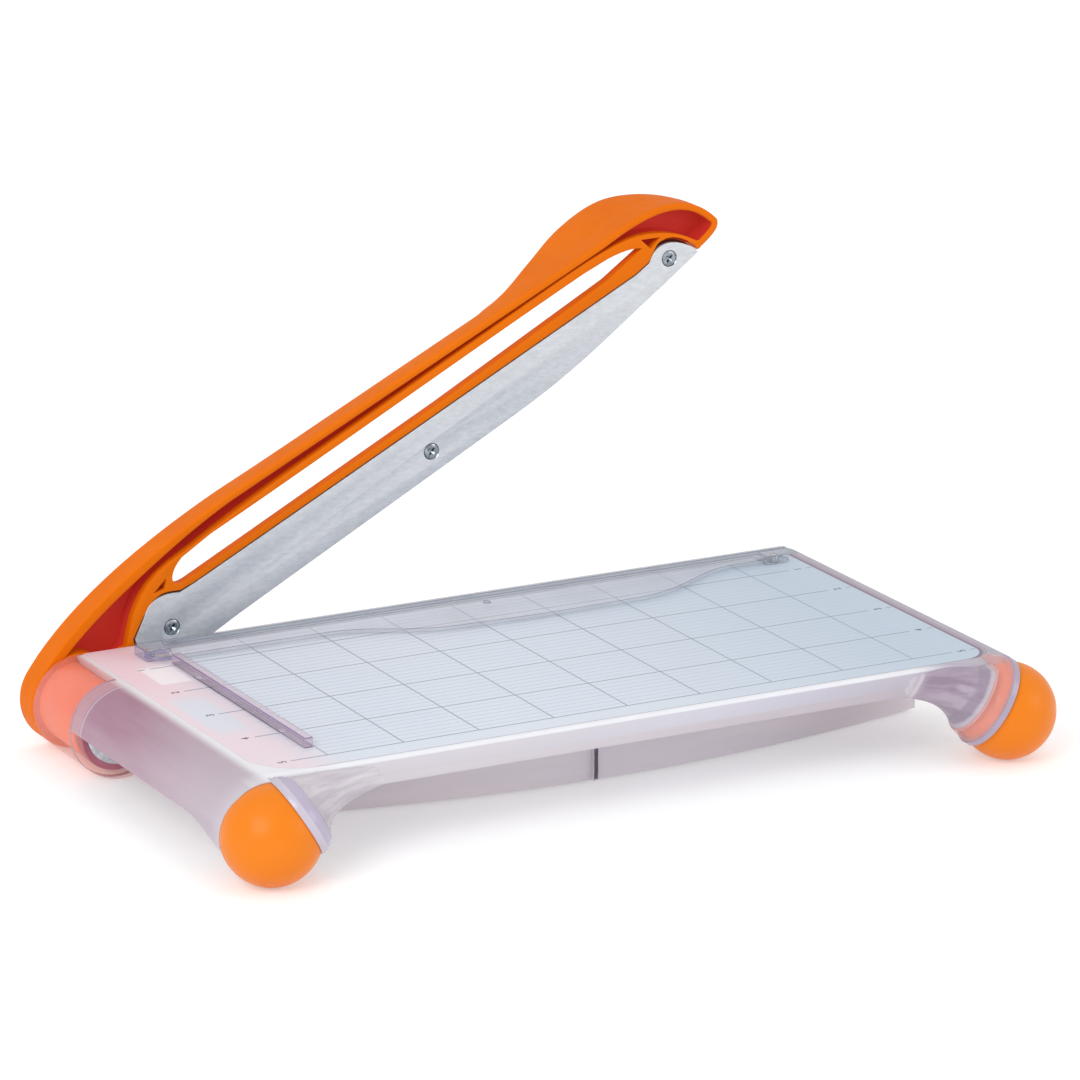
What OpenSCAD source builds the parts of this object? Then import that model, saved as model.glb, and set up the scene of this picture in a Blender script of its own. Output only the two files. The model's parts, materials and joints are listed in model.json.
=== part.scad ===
// Guillotine paper trimmer with a hinged blade arm, a printed board, a finger guard and two ball feet.
// The board frame below has x along the cut from the first ruled line, y = 0 on the cut line, z = 0 on the
// board. on_table() moves it so that the origin is under the middle of the whole object, on the table.

/* [Board] */
// Height of the board above the table
board_h = 31.4; // [30:0.1:34]
// Right edge of the board, measured from the first ruled line
board_right = 232; // [225:1:250]
// Distance from the cut line to the front edge of the board
board_depth = 137; // [130:1:145]
// Thickness of the moulded walls
wall = 2.5; // [2:0.1:3]
// Height of the turned-down edge
fascia_h = 8.7; // [7:0.1:10]
// Radius of the round left side
tube_r = 15.7; // [15:0.1:16]
// Thickness of the printed label
label_t = 0.25; // [0.2:0.05:0.4]

/* [Hinge] */
// Hinge axis, measured to the left of the first ruled line
pivot_left = 25.7; // [24:0.1:28]
// Length of the hinge barrel along its axis
barrel_len = 34; // [30:1:38]
// Outside radius of the hinge barrel
barrel_r = 15.6; // [15:0.1:15.6]
// Bore radius of the hinge barrel
barrel_bore_r = 13.2; // [12.5:0.1:13.3]
// Radius of the pivot bolt
bolt_r = 4; // [3.5:0.1:4.5]

/* [Arm] */
// Angle that the arm stands open above its closed position
open_angle = 27.5; // [0:0.5:55]
// Length of the arm from the hinge axis to its tip
arm_len = 263.9; // [255:0.1:270]
// Width of the arm across the cut line
arm_w = 10.5; // [9:0.5:12]
// Width of the grip at its widest
grip_w = 28.5; // [20:0.5:30]
// Thickness of the arm's band, rails and ribs
rib_t = 2.3; // [2:0.1:3]

/* [Blade] */
// Thickness of the moving blade
blade_t = 1.5; // [1:0.1:2]
// Gap between the moving blade and the fixed one
shear_gap = 0.15; // [0.1:0.05:0.3]
// Width of the fixed blade's top
bed_w = 9; // [7:0.5:10]

/* [Feet] */
// Radius of the ball feet
ball_r = 15.5; // [14:0.1:15.6]
// Distance from the cut line to the centres of the balls
ball_y = 143.3; // [141:0.1:146]
// Ball centre to ball centre
ball_pitch = 254.3; // [245:0.1:270]
// Thickness of the rubber pads
pad_t = 1.2; // [0.8:0.1:2]

/* [Hidden] */
$fn = 64;
eps = 0.01;
big = 400;

pivot = [-pivot_left, 0, -tube_r];
board_rear = -0.3;
arm_y = 0.3;
arm_rear = arm_y + arm_w;
grip_rear = arm_y + grip_w;
ball_left = pivot[0] - 0.7;
ball_right = ball_left + ball_pitch;

// Middle of the whole object, which becomes the origin
mid_x = (ball_left + ball_right) / 2;
mid_y = (grip_rear - ball_y - ball_r) / 2;

// Fixed blade
bed_left = -6;
bed_right = board_right - 1.5;
bed_t = 1.5;
bed_top_t = 1.2;
bed_drop = 14;
bed_screw_x = [20, 85, 150, 212];
bed_screw_z = -8;
screw_r = 1.5;
screw_head_r = 2.75;

// Underframe
frame_left = -4;
frame_right = board_right - 5;
frame_rear = -8;
frame_bow_y = -105.5;
frame_bow_r = 443;
frame_wall = 2;
frame_bottom = -board_h + pad_t;
frame_mid = (frame_left + frame_right) / 2;
frame_rib_x = 101.6;
post_r = 6;
post_x = [frame_left + 7, frame_right - 7];
post_y = [-80, -24];
post_top = -8.5;
head_z = -20;

// Guard
guard_left = -10;
guard_right = 224;
guard_z = 0.8;
guard_t = 1.4;
guard_rail_top = 3.4;
guard_screw_at = [[-7, -14], [218.5, -14]];

// Hinge stack along the axis, from the front
wall_front = 3 - barrel_len;
wall_rear = wall_front + wall;
hub_front = wall_rear + 2;
hub_r = 15.4;
plug_r = barrel_bore_r - 0.3;
bush_r = bolt_r + 2.5;
recess_r = 9;
recess_depth = 4.8;
cap_t = 1.4;

// Left cup and horns
cup_front = -141;
cup_back = -127;
cup_back_r = 12.6;
cup_rim_r = 15.2;
cup_set = 9.6;
cup_len = 5.2;
pin_r = 1.2;
fence_pin_y = [-40, -100];

// Blade screws along the arm and up from the hinge axis
screw_at = [[38.3, 2.1], [141, 0.1], [242.8, 7.7]];
insert_r = 2.6;
insert_len = 6;
blade_head_r = 2.5;

// Points of a cubic curve from p0 to p3 with the handles p1 and p2
function curve(p0, p1, p2, p3, n = 14) = [for (i = [0 : n]) let (t = i / n, s = 1 - t)
    s * s * s * p0 + 3 * s * s * t * p1 + 3 * s * t * t * p2 + t * t * t * p3];

// Rounded corner from a to b around the sharp corner c
function rounded(a, c, b) = curve(a, a + 0.55 * (c - a), b + 0.55 * (c - b), b, 8);

// Board frame to part frame
module on_table() {
    translate([-mid_x, -mid_y, board_h])
        children();
}

// Arm frame, with the arm lying closed along +x from the hinge axis
module on_arm() {
    on_table()
        translate(pivot)
            rotate([0, -open_angle, 0])
                children();
}

// Upright plate from a drawing in x and z, filling y0 to y1
module upright(y0, y1) {
    translate([0, y1, 0])
        rotate([90, 0, 0])
            linear_extrude(y1 - y0)
                children();
}

// Round bar along y from y0 to y1
module bar_y(r, y0, y1) {
    translate([0, y1, 0])
        rotate([90, 0, 0])
            cylinder(r = r, h = y1 - y0);
}

// Box from its low corner to its high corner
module box(low, high) {
    translate(low)
        cube(high - low);
}

// Copies at every pair of the two lists of places
module at_each(xs, ys) {
    for (x = xs)
        for (y = ys)
            translate([x, y, 0])
                children();
}

// Outlines of the board and of its label

module board_outline() {
    front = -board_depth;
    polygon(concat(
        [[pivot[0], front]],
        rounded([board_right - 10, front], [board_right, front], [board_right, front + 10]),
        rounded([board_right, board_rear - 4], [board_right, board_rear], [board_right - 4, board_rear]),
        [[pivot[0], board_rear]]));
}

module label_outline() {
    left = pivot[0] + 2;
    right = board_right - 3;
    front = 1.5 - board_depth;
    rear = board_rear - 0.5;
    polygon(concat(
        rounded([left, front + 17], [left, front], [left + 17, front]),
        rounded([right - 9, front], [right, front], [right, front + 9]),
        [[right, -bed_w], [bed_left, -bed_w], [bed_left, rear], [left, rear]]));
}

// Base shell

function ball_at(side) = [side < 0 ? ball_left : ball_right, -ball_y, -board_h + ball_r];

// Frame of a ball with z out of its cup, for side -1 on the left or 1 on the right
module along_ball(side) {
    translate(ball_at(side))
        rotate([0, 0, side < 0 ? 180 + 6.5 : -6.5])
            rotate([0, 118.7, 0])
                children();
}

// Upright slice of a horn at a distance from the ball towards the middle of the board
module horn_slice(side, away, low, front, back) {
    x = ball_at(side)[0] - side * away;
    box([x - 1, front, low], [x + 1, back, -1]);
}

// Flared arm in two steps from the front edge down to a ball, the left one reaching further
module horn(side) {
    reach = side < 0 ? 9 : 0;
    intersection() {
        union() {
            hull() {
                along_ball(side)
                    translate([0, 0, -cup_set])
                        cylinder(r1 = cup_back_r, r2 = cup_rim_r, h = cup_len);
                horn_slice(side, 24 + reach, -14.7, -139, -124);
            }
            hull() {
                horn_slice(side, 24 + reach, -14.7, -139, -124);
                horn_slice(side, 42 + reach, -fascia_h, -board_depth, -board_depth + 8);
            }
        }
        box([-big, -big, -board_h + 0.8], [big, big, 0]);
    }
}

// Barrel with an end wall, set back from its front
module hinge_barrel() {
    translate(pivot) {
        difference() {
            bar_y(barrel_r, -barrel_len, board_rear);
            bar_y(barrel_bore_r, wall_rear, 1);
            bar_y(barrel_bore_r, -barrel_len - 1, wall_front);
            bar_y(bolt_r + 0.1, wall_front - 1, wall_rear + 1);
        }
    }
}

// Everything left of the hinge axis and above the lower edge of the round side, which drops at the ball
module side_mask() {
    low = -tube_r + 1.5;
    translate([-big, 0, 0])
        rotate([90, 0, 90])
            linear_extrude(big + pivot[0])
                polygon(concat(
                    [[0, low], [0, 1], [cup_front - 2, 1]],
                    curve([cup_front - 1, -21.8], [-134, -17.5], [-128, low], [-114, low])));
}

module round_side() {
    intersection() {
        side_mask();
        translate(pivot)
            difference() {
                bar_y(tube_r, cup_front, -barrel_len + 1);
                bar_y(tube_r - wall, cup_back, -barrel_len + 2);
            }
    }
}

// Filling that carries the cup over the top of the left ball
module left_cup() {
    intersection() {
        translate(pivot)
            bar_y(tube_r - 0.1, cup_front, cup_back);
        box([pivot[0] - 1, -big, -22], [pivot[0] + 9, big, -0.2]);
    }
}

module base_shell() {
    color([0.82, 0.78, 0.85, 0.6])
        on_table()
            difference() {
                union() {
                    difference() {
                        translate([0, 0, -fascia_h])
                            linear_extrude(fascia_h)
                                board_outline();
                        translate([0, 0, -fascia_h - 1])
                            linear_extrude(fascia_h + 1 - wall) {
                                offset(delta = -wall)
                                    board_outline();
                                translate([pivot[0] - 1, -board_depth + wall])
                                    square([20, board_depth - 2 * wall]);
                            }
                    }
                    round_side();
                    hinge_barrel();
                    left_cup();
                    horn(-1);
                    horn(1);
                    box([bed_left, -bed_t - 2 * wall, -24], [bed_right, -bed_t, -1.5]);
                    at_each(post_x, post_y)
                        translate([0, 0, post_top])
                            cylinder(r = 5, h = -post_top - 1);
                }
                box([bed_left, -bed_w, -bed_top_t], [bed_right, 1, 1]);
                box([bed_left, -bed_t, -fascia_h - 1], [bed_right, 1, 1]);
                translate([0, 0, -label_t])
                    linear_extrude(1)
                        label_outline();
                translate(pivot)
                    bar_y(barrel_bore_r, wall_rear, 1);
                for (side = [-1, 1]) {
                    translate(ball_at(side))
                        sphere(r = ball_r + 0.05);
                    along_ball(side)
                        translate([0, 0, -ball_r - 6])
                            cylinder(r = 3, h = 8);
                }
                at_each(post_x, post_y)
                    translate([0, 0, post_top - 1])
                        cylinder(r = screw_r, h = 5.5);
                for (y = fence_pin_y)
                    translate([-2, y, -wall - 1])
                        cylinder(r = pin_r + 0.1, h = wall + 2);
                for (x = bed_screw_x)
                    translate([x, 0, bed_screw_z])
                        bar_y(screw_r, -9, 1);
                for (p = guard_screw_at)
                    translate([p[0], p[1], -10])
                        cylinder(r = screw_r + 0.1, h = 20);
            }
}

// Underframe

module frame_outline() {
    intersection() {
        translate([frame_mid, frame_bow_y + frame_bow_r])
            circle(r = frame_bow_r, $fn = 256);
        translate([frame_left, -150])
            square([frame_right - frame_left, 150 + frame_rear]);
    }
}

module under_frame() {
    color([0.80, 0.75, 0.82, 0.6])
        on_table()
            difference() {
                union() {
                    translate([0, 0, frame_bottom])
                        linear_extrude(-wall - 0.1 - frame_bottom)
                            difference() {
                                frame_outline();
                                offset(delta = -frame_wall)
                                    frame_outline();
                            }
                    box([frame_rib_x - 0.8, frame_bow_y - 1.5, frame_bottom],
                        [frame_rib_x + 0.8, frame_rear - 1, -wall - 0.1]);
                    at_each(post_x, post_y)
                        translate([0, 0, frame_bottom])
                            cylinder(r = post_r, h = post_top - frame_bottom);
                }
                at_each(post_x, post_y) {
                    translate([0, 0, frame_bottom - 1])
                        cylinder(r = 3.4, h = head_z + 2 - frame_bottom + 1);
                    translate([0, 0, head_z])
                        cylinder(r = screw_r + 0.2, h = 20);
                    translate([0, 0, post_top])
                        cylinder(r = 5.2, h = 20);
                }
            }
}

module frame_screws() {
    color("silver")
        on_table()
            at_each(post_x, post_y)
                difference() {
                    union() {
                        translate([0, 0, head_z])
                            cylinder(r = 3, h = 2);
                        translate([0, 0, head_z + 2 - eps])
                            cylinder(r = screw_r, h = 13.6);
                    }
                    translate([0, 0, head_z - 0.5])
                        for (turn = [0, 90])
                            rotate(turn)
                                translate([-1.8, -0.4, 0])
                                    cube([3.6, 0.8, 1.5]);
                }
}

module rubber_pads() {
    color("dimgray")
        on_table()
            at_each(post_x, post_y)
                translate([0, 0, -board_h])
                    cylinder(r = post_r - 0.5, h = pad_t);
}

module grid_label() {
    color("aliceblue")
        on_table()
            difference() {
                translate([0, 0, -label_t])
                    linear_extrude(label_t)
                        offset(delta = -0.05)
                            label_outline();
                for (y = fence_pin_y)
                    translate([-2, y, -1])
                        cylinder(r = pin_r + 0.1, h = 2);
                for (p = guard_screw_at)
                    translate([p[0], p[1], -1])
                        cylinder(r = screw_r + 0.1, h = 2);
            }
}

// Fixed blade

module bed_screw_hole() {
    bar_y(screw_r + 0.1, -bed_t - 1, 1);
    translate([0, -bed_t + eps, 0])
        rotate([-90, 0, 0])
            cylinder(r1 = screw_r, r2 = screw_head_r, h = bed_t);
}

module bed_blade() {
    color("lightsteelblue")
        on_table()
            difference() {
                union() {
                    box([bed_left + 0.1, -bed_w + 0.1, -bed_top_t], [bed_right - 0.1, 0, 0]);
                    box([bed_left + 0.1, -bed_t, -bed_drop], [bed_right - 0.1, 0, -bed_top_t + eps]);
                }
                for (x = bed_screw_x)
                    translate([x, 0, bed_screw_z])
                        bed_screw_hole();
            }
}

module bed_screws() {
    color("silver")
        on_table()
            for (x = bed_screw_x)
                translate([x, 0, bed_screw_z]) {
                    bar_y(screw_r, -7.5, -bed_t + 0.1);
                    translate([0, -bed_t + 0.1, 0])
                        rotate([-90, 0, 0])
                            cylinder(r1 = screw_r, r2 = screw_head_r - 0.1, h = bed_t - 0.2);
                }
}

// Guard and fence

module guard_outline() {
    y0 = -bed_w - 0.2;
    polygon(concat(
        [[guard_left, y0], [guard_right, y0]],
        curve([guard_right, -13], [guard_right, -16], [guard_right - 2, -17], [guard_right - 5, -17], 6),
        curve([203, -17], [186, -17.5], [179, -32], [158, -35]),
        curve([140, -36], [120, -36.4], [105, -36.2], [90, -35]),
        curve([90, -35], [70, -33], [68, -22.5], [48, -22.5]),
        curve([guard_left + 7, -22.5], [guard_left + 3, -22.5], [guard_left, -20], [guard_left, -16], 6)));
}

module finger_guard() {
    color([0.85, 0.87, 0.97, 0.4])
        on_table()
            difference() {
                union() {
                    translate([0, 0, guard_z])
                        linear_extrude(guard_t)
                            guard_outline();
                    box([guard_left, -bed_w - 2.2, guard_z], [guard_right, -bed_w - 0.2, guard_rail_top]);
                    intersection() {
                        linear_extrude(guard_rail_top)
                            guard_outline();
                        union() {
                            box([-big, -18.5, 0], [-1.5, 0, guard_rail_top]);
                            box([guard_right - 10, -big, 0], [big, 0, guard_rail_top - 0.4]);
                        }
                    }
                    translate([110, -17.5, guard_z + guard_t - 0.1])
                        cylinder(r1 = 1.6, r2 = 1, h = 0.7);
                }
                for (p = guard_screw_at)
                    translate([p[0], p[1], -1])
                        cylinder(r = screw_r, h = 3.4);
            }
}

module guard_screws() {
    color("silver")
        on_table()
            for (p = guard_screw_at)
                translate([p[0], p[1], 0]) {
                    translate([0, 0, -wall - 0.1])
                        cylinder(r = screw_r, h = wall + 2.4);
                    translate([0, 0, -wall - 2])
                        cylinder(r = screw_head_r, h = 1.95);
                }
}

module paper_fence() {
    color([0.85, 0.82, 0.95, 0.4])
        on_table() {
            box([-3.5, -118.5, 0], [-0.5, -23, 3.2]);
            for (y = fence_pin_y)
                translate([-2, y, -wall])
                    cylinder(r = pin_r, h = wall + 0.1);
        }
}

// Ball feet

module ball_foot(side) {
    on_table() {
        translate(ball_at(side))
            sphere(r = ball_r, $fn = 96);
        along_ball(side)
            translate([0, 0, -ball_r - 5])
                cylinder(r = 2.9, h = 8);
    }
}

module left_ball_foot() {
    color("darkorange")
        ball_foot(-1);
}

module right_ball_foot() {
    color("darkorange")
        ball_foot(1);
}

// Hinge hardware

module on_axis() {
    on_table()
        translate(pivot)
            children();
}

module pivot_bolt() {
    color("silver")
        on_axis() {
            bar_y(bolt_r, wall_front - 10, arm_rear - recess_depth + 0.3);
            difference() {
                bar_y(7, arm_rear - recess_depth + 0.25, arm_rear - cap_t - 0.4);
                upright(arm_rear - cap_t - 1.8, arm_rear)
                    circle(r = 3, $fn = 6);
            }
        }
}

module pivot_nut() {
    color("silver")
        on_axis()
            difference() {
                upright(wall_front - 8.2, wall_front - 3.2)
                    circle(r = 7.5, $fn = 6);
                bar_y(bolt_r + 0.02, wall_front - 12, wall_front);
            }
}

module spring_washer() {
    color("gray")
        on_axis()
            translate([0, wall_front - 3.2, 0])
                rotate([-90, 0, 0])
                    rotate_extrude()
                        polygon([[bolt_r + 0.2, 0], [bolt_r + 1.4, 0], [8.4, 0.6],
                            [8.4, 1.7], [bolt_r + 0.2, 1.1]]);
}

module washer(r, y0, y1) {
    difference() {
        bar_y(r, y0, y1);
        bar_y(bolt_r + 0.1, y0 - 1, y1 + 1);
    }
}

module end_washer() {
    color("gainsboro")
        on_axis()
            washer(11, wall_front - 1.4, wall_front);
}

module thrust_washer() {
    color("ivory")
        on_axis()
            washer(12, wall_rear + 0.1, hub_front - 0.1);
}

// Arm, drawn closed in the arm frame with x along the arm and z up from the hinge axis

module arm_top() {
    polygon(concat(
        curve([-6, 14.2], [8, 21.5], [34, 28.2], [75, 28.6]),
        curve([225, 26.2], [246, 27.5], [259, 24], [arm_len, 9.5]),
        [[arm_len - 0.6, 6.6], [arm_len - 2.5, 5.4], [arm_len - 10.9, 4.4]],
        curve([236, 4.6], [215, 2.2], [200, -1.6], [175, -2.4]),
        [[60, -3], [20, -9], [10, -11]]));
}

module arm_outline() {
    arm_top();
    circle(r = hub_r);
}

// Finger slot, round at the hinge end and pointed at the grip
module slot_outline() {
    polygon(concat(
        curve([50, 12.6], [43.5, 12.6], [45, 18], [52, 20.2], 8),
        curve([64, 21.2], [110, 20.6], [170, 21.4], [214, 20.8]),
        curve([224, 20.2], [230, 19.4], [234, 18], [236, 16.2], 6),
        [[220, 14.2], [190, 13.6], [150, 12.6]]));
}

module blade_outline() {
    polygon(concat(
        [[22, -10], [26, 6]],
        curve([32, 10.6], [35, 14], [40, 14.6], [46, 10.6], 8),
        [[52, 10.3], [230, 9.6]],
        curve([236, 10.4], [240, 14.5], [246, 15], [252.5, 5.4], 10),
        [[252.7, 3.7]],
        curve([236.7, 1], [215, -2], [200, -6], [172, -6.4]),
        [[60, -7.6], [40, -8.4]]));
}

module arm_pockets() {
    difference() {
        offset(delta = -rib_t)
            arm_outline();
        offset(r = rib_t)
            slot_outline();
        offset(delta = rib_t + 0.4)
            blade_outline();
        translate([0, -50])
            square([big, 52]);
        circle(r = hub_r - 1);
    }
}

module screw_bosses() {
    for (p = screw_at)
        translate(p)
            circle(r = insert_r + 2);
}

// Area behind the blade and the lower rail
module relief_outline() {
    difference() {
        union() {
            offset(delta = rib_t)
                blade_outline();
            translate([53, -20])
                square([177, 34.4]);
        }
        circle(r = hub_r + 8);
        translate([251, -20])
            square([20, 50]);
    }
}

module arm() {
    color("darkorange")
        on_arm() {
            difference() {
                upright(arm_y, arm_rear)
                    arm_outline();
                upright(-1, arm_rear + 1)
                    slot_outline();
                upright(-1, arm_rear - 2.5)
                    arm_pockets();
                upright(-1, arm_y + blade_t - 0.15)
                    offset(delta = 0.4)
                        blade_outline();
                // Relief behind the blade plate and the lower rail, shallower over the screw bosses
                upright(arm_y + 3.6, arm_rear + 1)
                    difference() {
                        relief_outline();
                        screw_bosses();
                    }
                upright(arm_y + insert_len + 0.8, arm_rear + 1)
                    relief_outline();
                bar_y(recess_r, arm_rear - recess_depth, arm_rear + 1);
                bar_y(bush_r, -1, arm_rear);
                for (p = screw_at)
                    translate([p[0], 0, p[1]])
                        bar_y(insert_r, -1, arm_y + insert_len);
            }
            difference() {
                bar_y(plug_r, hub_front, arm_y + eps);
                bar_y(bush_r, hub_front - 1, 1);
            }
        }
}

// Palm rest that widens the top band towards the rear
module grip() {
    color("darkorange")
        on_arm()
            intersection() {
                upright(arm_rear, grip_rear)
                    difference() {
                        arm_top();
                        difference() {
                            offset(delta = -rib_t)
                                arm_top();
                            translate([150, 0])
                                square([100, 4]);
                        }
                        translate([-50, -60])
                            square([big, 74]);
                    }
                translate([0, 0, -50])
                    linear_extrude(100)
                        polygon(concat(
                            [[178, arm_rear - 1]],
                            curve([178, arm_rear + 0.4], [203, arm_rear + 2.2],
                                [212, grip_rear], [230, grip_rear]),
                            curve([232, grip_rear], [245, grip_rear], [252, 20], [258, arm_rear + 0.3]),
                            [[260, arm_rear - 1]]));
            }
}

// Countersink that brings a screw head level with the front of the blade
module blade_countersink(extra) {
    translate([0, shear_gap, 0])
        rotate([-90, 0, 0])
            cylinder(r1 = blade_head_r + extra, r2 = screw_r + extra, h = blade_t - 0.2);
}

module blade() {
    color("lightsteelblue")
        on_arm()
            difference() {
                upright(shear_gap, shear_gap + blade_t)
                    blade_outline();
                for (p = screw_at)
                    translate([p[0], 0, p[1]]) {
                        bar_y(screw_r + 0.1, -1, 3);
                        blade_countersink(0.1);
                    }
            }
}

module blade_screws() {
    color("silver")
        on_arm()
            for (p = screw_at)
                translate([p[0], 0, p[1]])
                    difference() {
                        union() {
                            blade_countersink(0);
                            bar_y(screw_r, shear_gap + blade_t - 0.3, arm_y + insert_len - 0.5);
                        }
                        for (turn = [0, 90])
                            rotate([0, turn, 0])
                                box([-1.5, -1, -0.3], [1.5, shear_gap + 0.8, 0.3]);
                    }
}

module blade_inserts() {
    color("goldenrod")
        on_arm()
            for (p = screw_at)
                translate([p[0], 0, p[1]])
                    difference() {
                        bar_y(insert_r, arm_y + blade_t, arm_y + insert_len);
                        bar_y(screw_r, -1, arm_y + 9);
                    }
}

module pivot_bush() {
    color("ivory")
        on_arm()
            difference() {
                bar_y(bush_r, hub_front, arm_rear - recess_depth);
                bar_y(bolt_r + 0.05, hub_front - 1, arm_rear);
            }
}

module hub_cap() {
    color("darkorange")
        on_arm()
            bar_y(recess_r, arm_rear - cap_t, arm_rear);
}

base_shell();
under_frame();
frame_screws();
rubber_pads();
grid_label();
bed_blade();
bed_screws();
finger_guard();
guard_screws();
paper_fence();
left_ball_foot();
right_ball_foot();
pivot_bolt();
pivot_nut();
spring_washer();
end_washer();
thrust_washer();
arm();
grip();
blade();
blade_screws();
blade_inserts();
pivot_bush();
hub_cap();
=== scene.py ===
import json
import math

import bmesh
import bpy
from mathutils import Matrix, Vector


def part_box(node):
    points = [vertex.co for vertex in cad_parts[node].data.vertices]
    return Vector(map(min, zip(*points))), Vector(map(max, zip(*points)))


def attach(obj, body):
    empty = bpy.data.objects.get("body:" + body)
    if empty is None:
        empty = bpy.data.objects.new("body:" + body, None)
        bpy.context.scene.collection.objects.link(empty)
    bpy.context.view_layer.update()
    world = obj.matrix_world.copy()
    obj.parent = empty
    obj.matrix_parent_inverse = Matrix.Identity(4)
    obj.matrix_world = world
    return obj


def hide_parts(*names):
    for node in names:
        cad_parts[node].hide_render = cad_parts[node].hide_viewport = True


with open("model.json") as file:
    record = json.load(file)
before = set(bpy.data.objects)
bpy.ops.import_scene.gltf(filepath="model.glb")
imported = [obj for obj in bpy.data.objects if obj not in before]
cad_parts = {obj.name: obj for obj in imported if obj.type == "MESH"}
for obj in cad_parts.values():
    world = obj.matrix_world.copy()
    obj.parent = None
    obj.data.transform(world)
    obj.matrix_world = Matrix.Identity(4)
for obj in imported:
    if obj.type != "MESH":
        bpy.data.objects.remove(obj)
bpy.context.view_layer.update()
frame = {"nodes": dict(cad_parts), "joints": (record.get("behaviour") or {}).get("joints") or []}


# ------------------------------------------------------------------ places and sizes, in mm unless said

MM = 0.001
FENCE_LEFT, FENCE_FRONT = -3.5, -118.5
fence_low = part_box("paper_fence")[0]
deck_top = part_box("grid_label")[1].z
ORIGIN = Vector((fence_low.x - FENCE_LEFT * MM, fence_low.y - FENCE_FRONT * MM, deck_top))
HINGE = Vector(frame["joints"][0]["pos_m"])
OPEN_ANGLE = math.radians(27.5)
BOARD = Matrix.Translation(ORIGIN)
ARM = Matrix.Translation(HINGE) @ Matrix.Rotation(-OPEN_ANGLE, 4, "Y")
PIVOT = (HINGE - ORIGIN) / MM
TABLE_Z = -ORIGIN.z / MM
INCH = 25.4

WALL = 2.5
TUBE_R = 15.7
BORE_R = 13.2
BOARD_RIGHT = 232.0
BOARD_FRONT = -137.0
BED_LEFT, BED_RIGHT, BED_FRONT = -6, 230.5, -9
BALL_R = 15.5
BALL_Y = -143.3
BALLS = {-1: Vector((PIVOT.x - 0.7, BALL_Y, TABLE_Z + BALL_R)),
         1: Vector((PIVOT.x - 0.7 + 254.3, BALL_Y, TABLE_Z + BALL_R))}
ARM_FRONT, ARM_REAR = 0.3, 10.8
BACKING_FRONT = 1.75
GRIP_REAR = 28.8
PALM_RISE = 0.5
RIB = 2.3
HUB_R = 15.4
OFFSET = 0.04  # keeps faces that would share a plane apart
SCREWS = [(38.3, 2.1), (141.0, 0.1), (242.8, 7.7)]

scene = bpy.context.scene


def bez(p0, p1, p2, p3, n=14):
    """Points of a cubic curve."""
    out = []
    for i in range(n + 1):
        t = i / n
        s = 1 - t
        out.append(tuple(s ** 3 * a + 3 * s * s * t * b + 3 * s * t * t * c + t ** 3 * d
                         for a, b, c, d in zip(p0, p1, p2, p3)))
    return out


def rounded(a, c, b, n=8):
    """Rounded corner from a to b around the sharp corner c."""
    near = [tuple(u + 0.55 * (v - u) for u, v in zip(p, c)) for p in (a, b)]
    return bez(a, near[0], near[1], b, n)


def lerp(a, b, t):
    """Value t of the way from a to b."""
    return a + (b - a) * t


def smooth(t):
    """Smooth step from 0 to 1."""
    t = max(0.0, min(1.0, t))
    return t * t * (3 - 2 * t)


# ------------------------------------------------------------------ mesh tools

def add_mesh(name, verts, faces, space):
    """Object from corner points in mm in the board's or the arm's own space."""
    mesh = bpy.data.meshes.new(name)
    mesh.from_pydata([tuple(space @ (Vector(v) * MM)) for v in verts], [], faces)
    mesh.validate()
    obj = bpy.data.objects.new(name, mesh)
    scene.collection.objects.link(obj)
    return obj


def tidy_normals(obj):
    """Merge doubled corners and turn all faces outwards."""
    bm = bmesh.new()
    bm.from_mesh(obj.data)
    bmesh.ops.remove_doubles(bm, verts=bm.verts, dist=1e-6)
    bmesh.ops.recalc_face_normals(bm, faces=bm.faces)
    bm.to_mesh(obj.data)
    bm.free()


def shade(obj, angle=32):
    """Smooth shading, sharp where faces meet at more than the angle in degrees."""
    obj.data.shade_smooth()
    obj.data.set_sharp_from_angle(angle=math.radians(angle))


def apply_modifiers(obj):
    """Replace the mesh by its modified form."""
    depsgraph = bpy.context.evaluated_depsgraph_get()
    made = bpy.data.meshes.new_from_object(obj.evaluated_get(depsgraph))
    obj.modifiers.clear()
    old = obj.data
    obj.data = made
    bpy.data.meshes.remove(old)


def bevel(obj, width, segments=2, angle=35):
    """Round every edge sharper than the angle; width in mm."""
    mod = obj.modifiers.new("edges", "BEVEL")
    mod.width = width * MM
    mod.segments = segments
    mod.limit_method = "ANGLE"
    mod.angle_limit = math.radians(angle)
    mod.use_clamp_overlap = True
    apply_modifiers(obj)


def combine(obj, others):
    """Cut the others out of obj; they are used up."""
    for other in others:
        mod = obj.modifiers.new("bool", "BOOLEAN")
        mod.object = other
        mod.operation = "DIFFERENCE"
        mod.solver = "EXACT"
        apply_modifiers(obj)
        bpy.data.objects.remove(other)
    return obj


def join(name, objs):
    """One object with the meshes of all of them."""
    bm = bmesh.new()
    for o in objs:
        temp = o.data.copy()
        temp.transform(o.matrix_world)
        bm.from_mesh(temp)
        bpy.data.meshes.remove(temp)
    mesh = bpy.data.meshes.new(name)
    bm.to_mesh(mesh)
    bm.free()
    for o in objs:
        bpy.data.objects.remove(o)
    obj = bpy.data.objects.new(name, mesh)
    scene.collection.objects.link(obj)
    return obj


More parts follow.
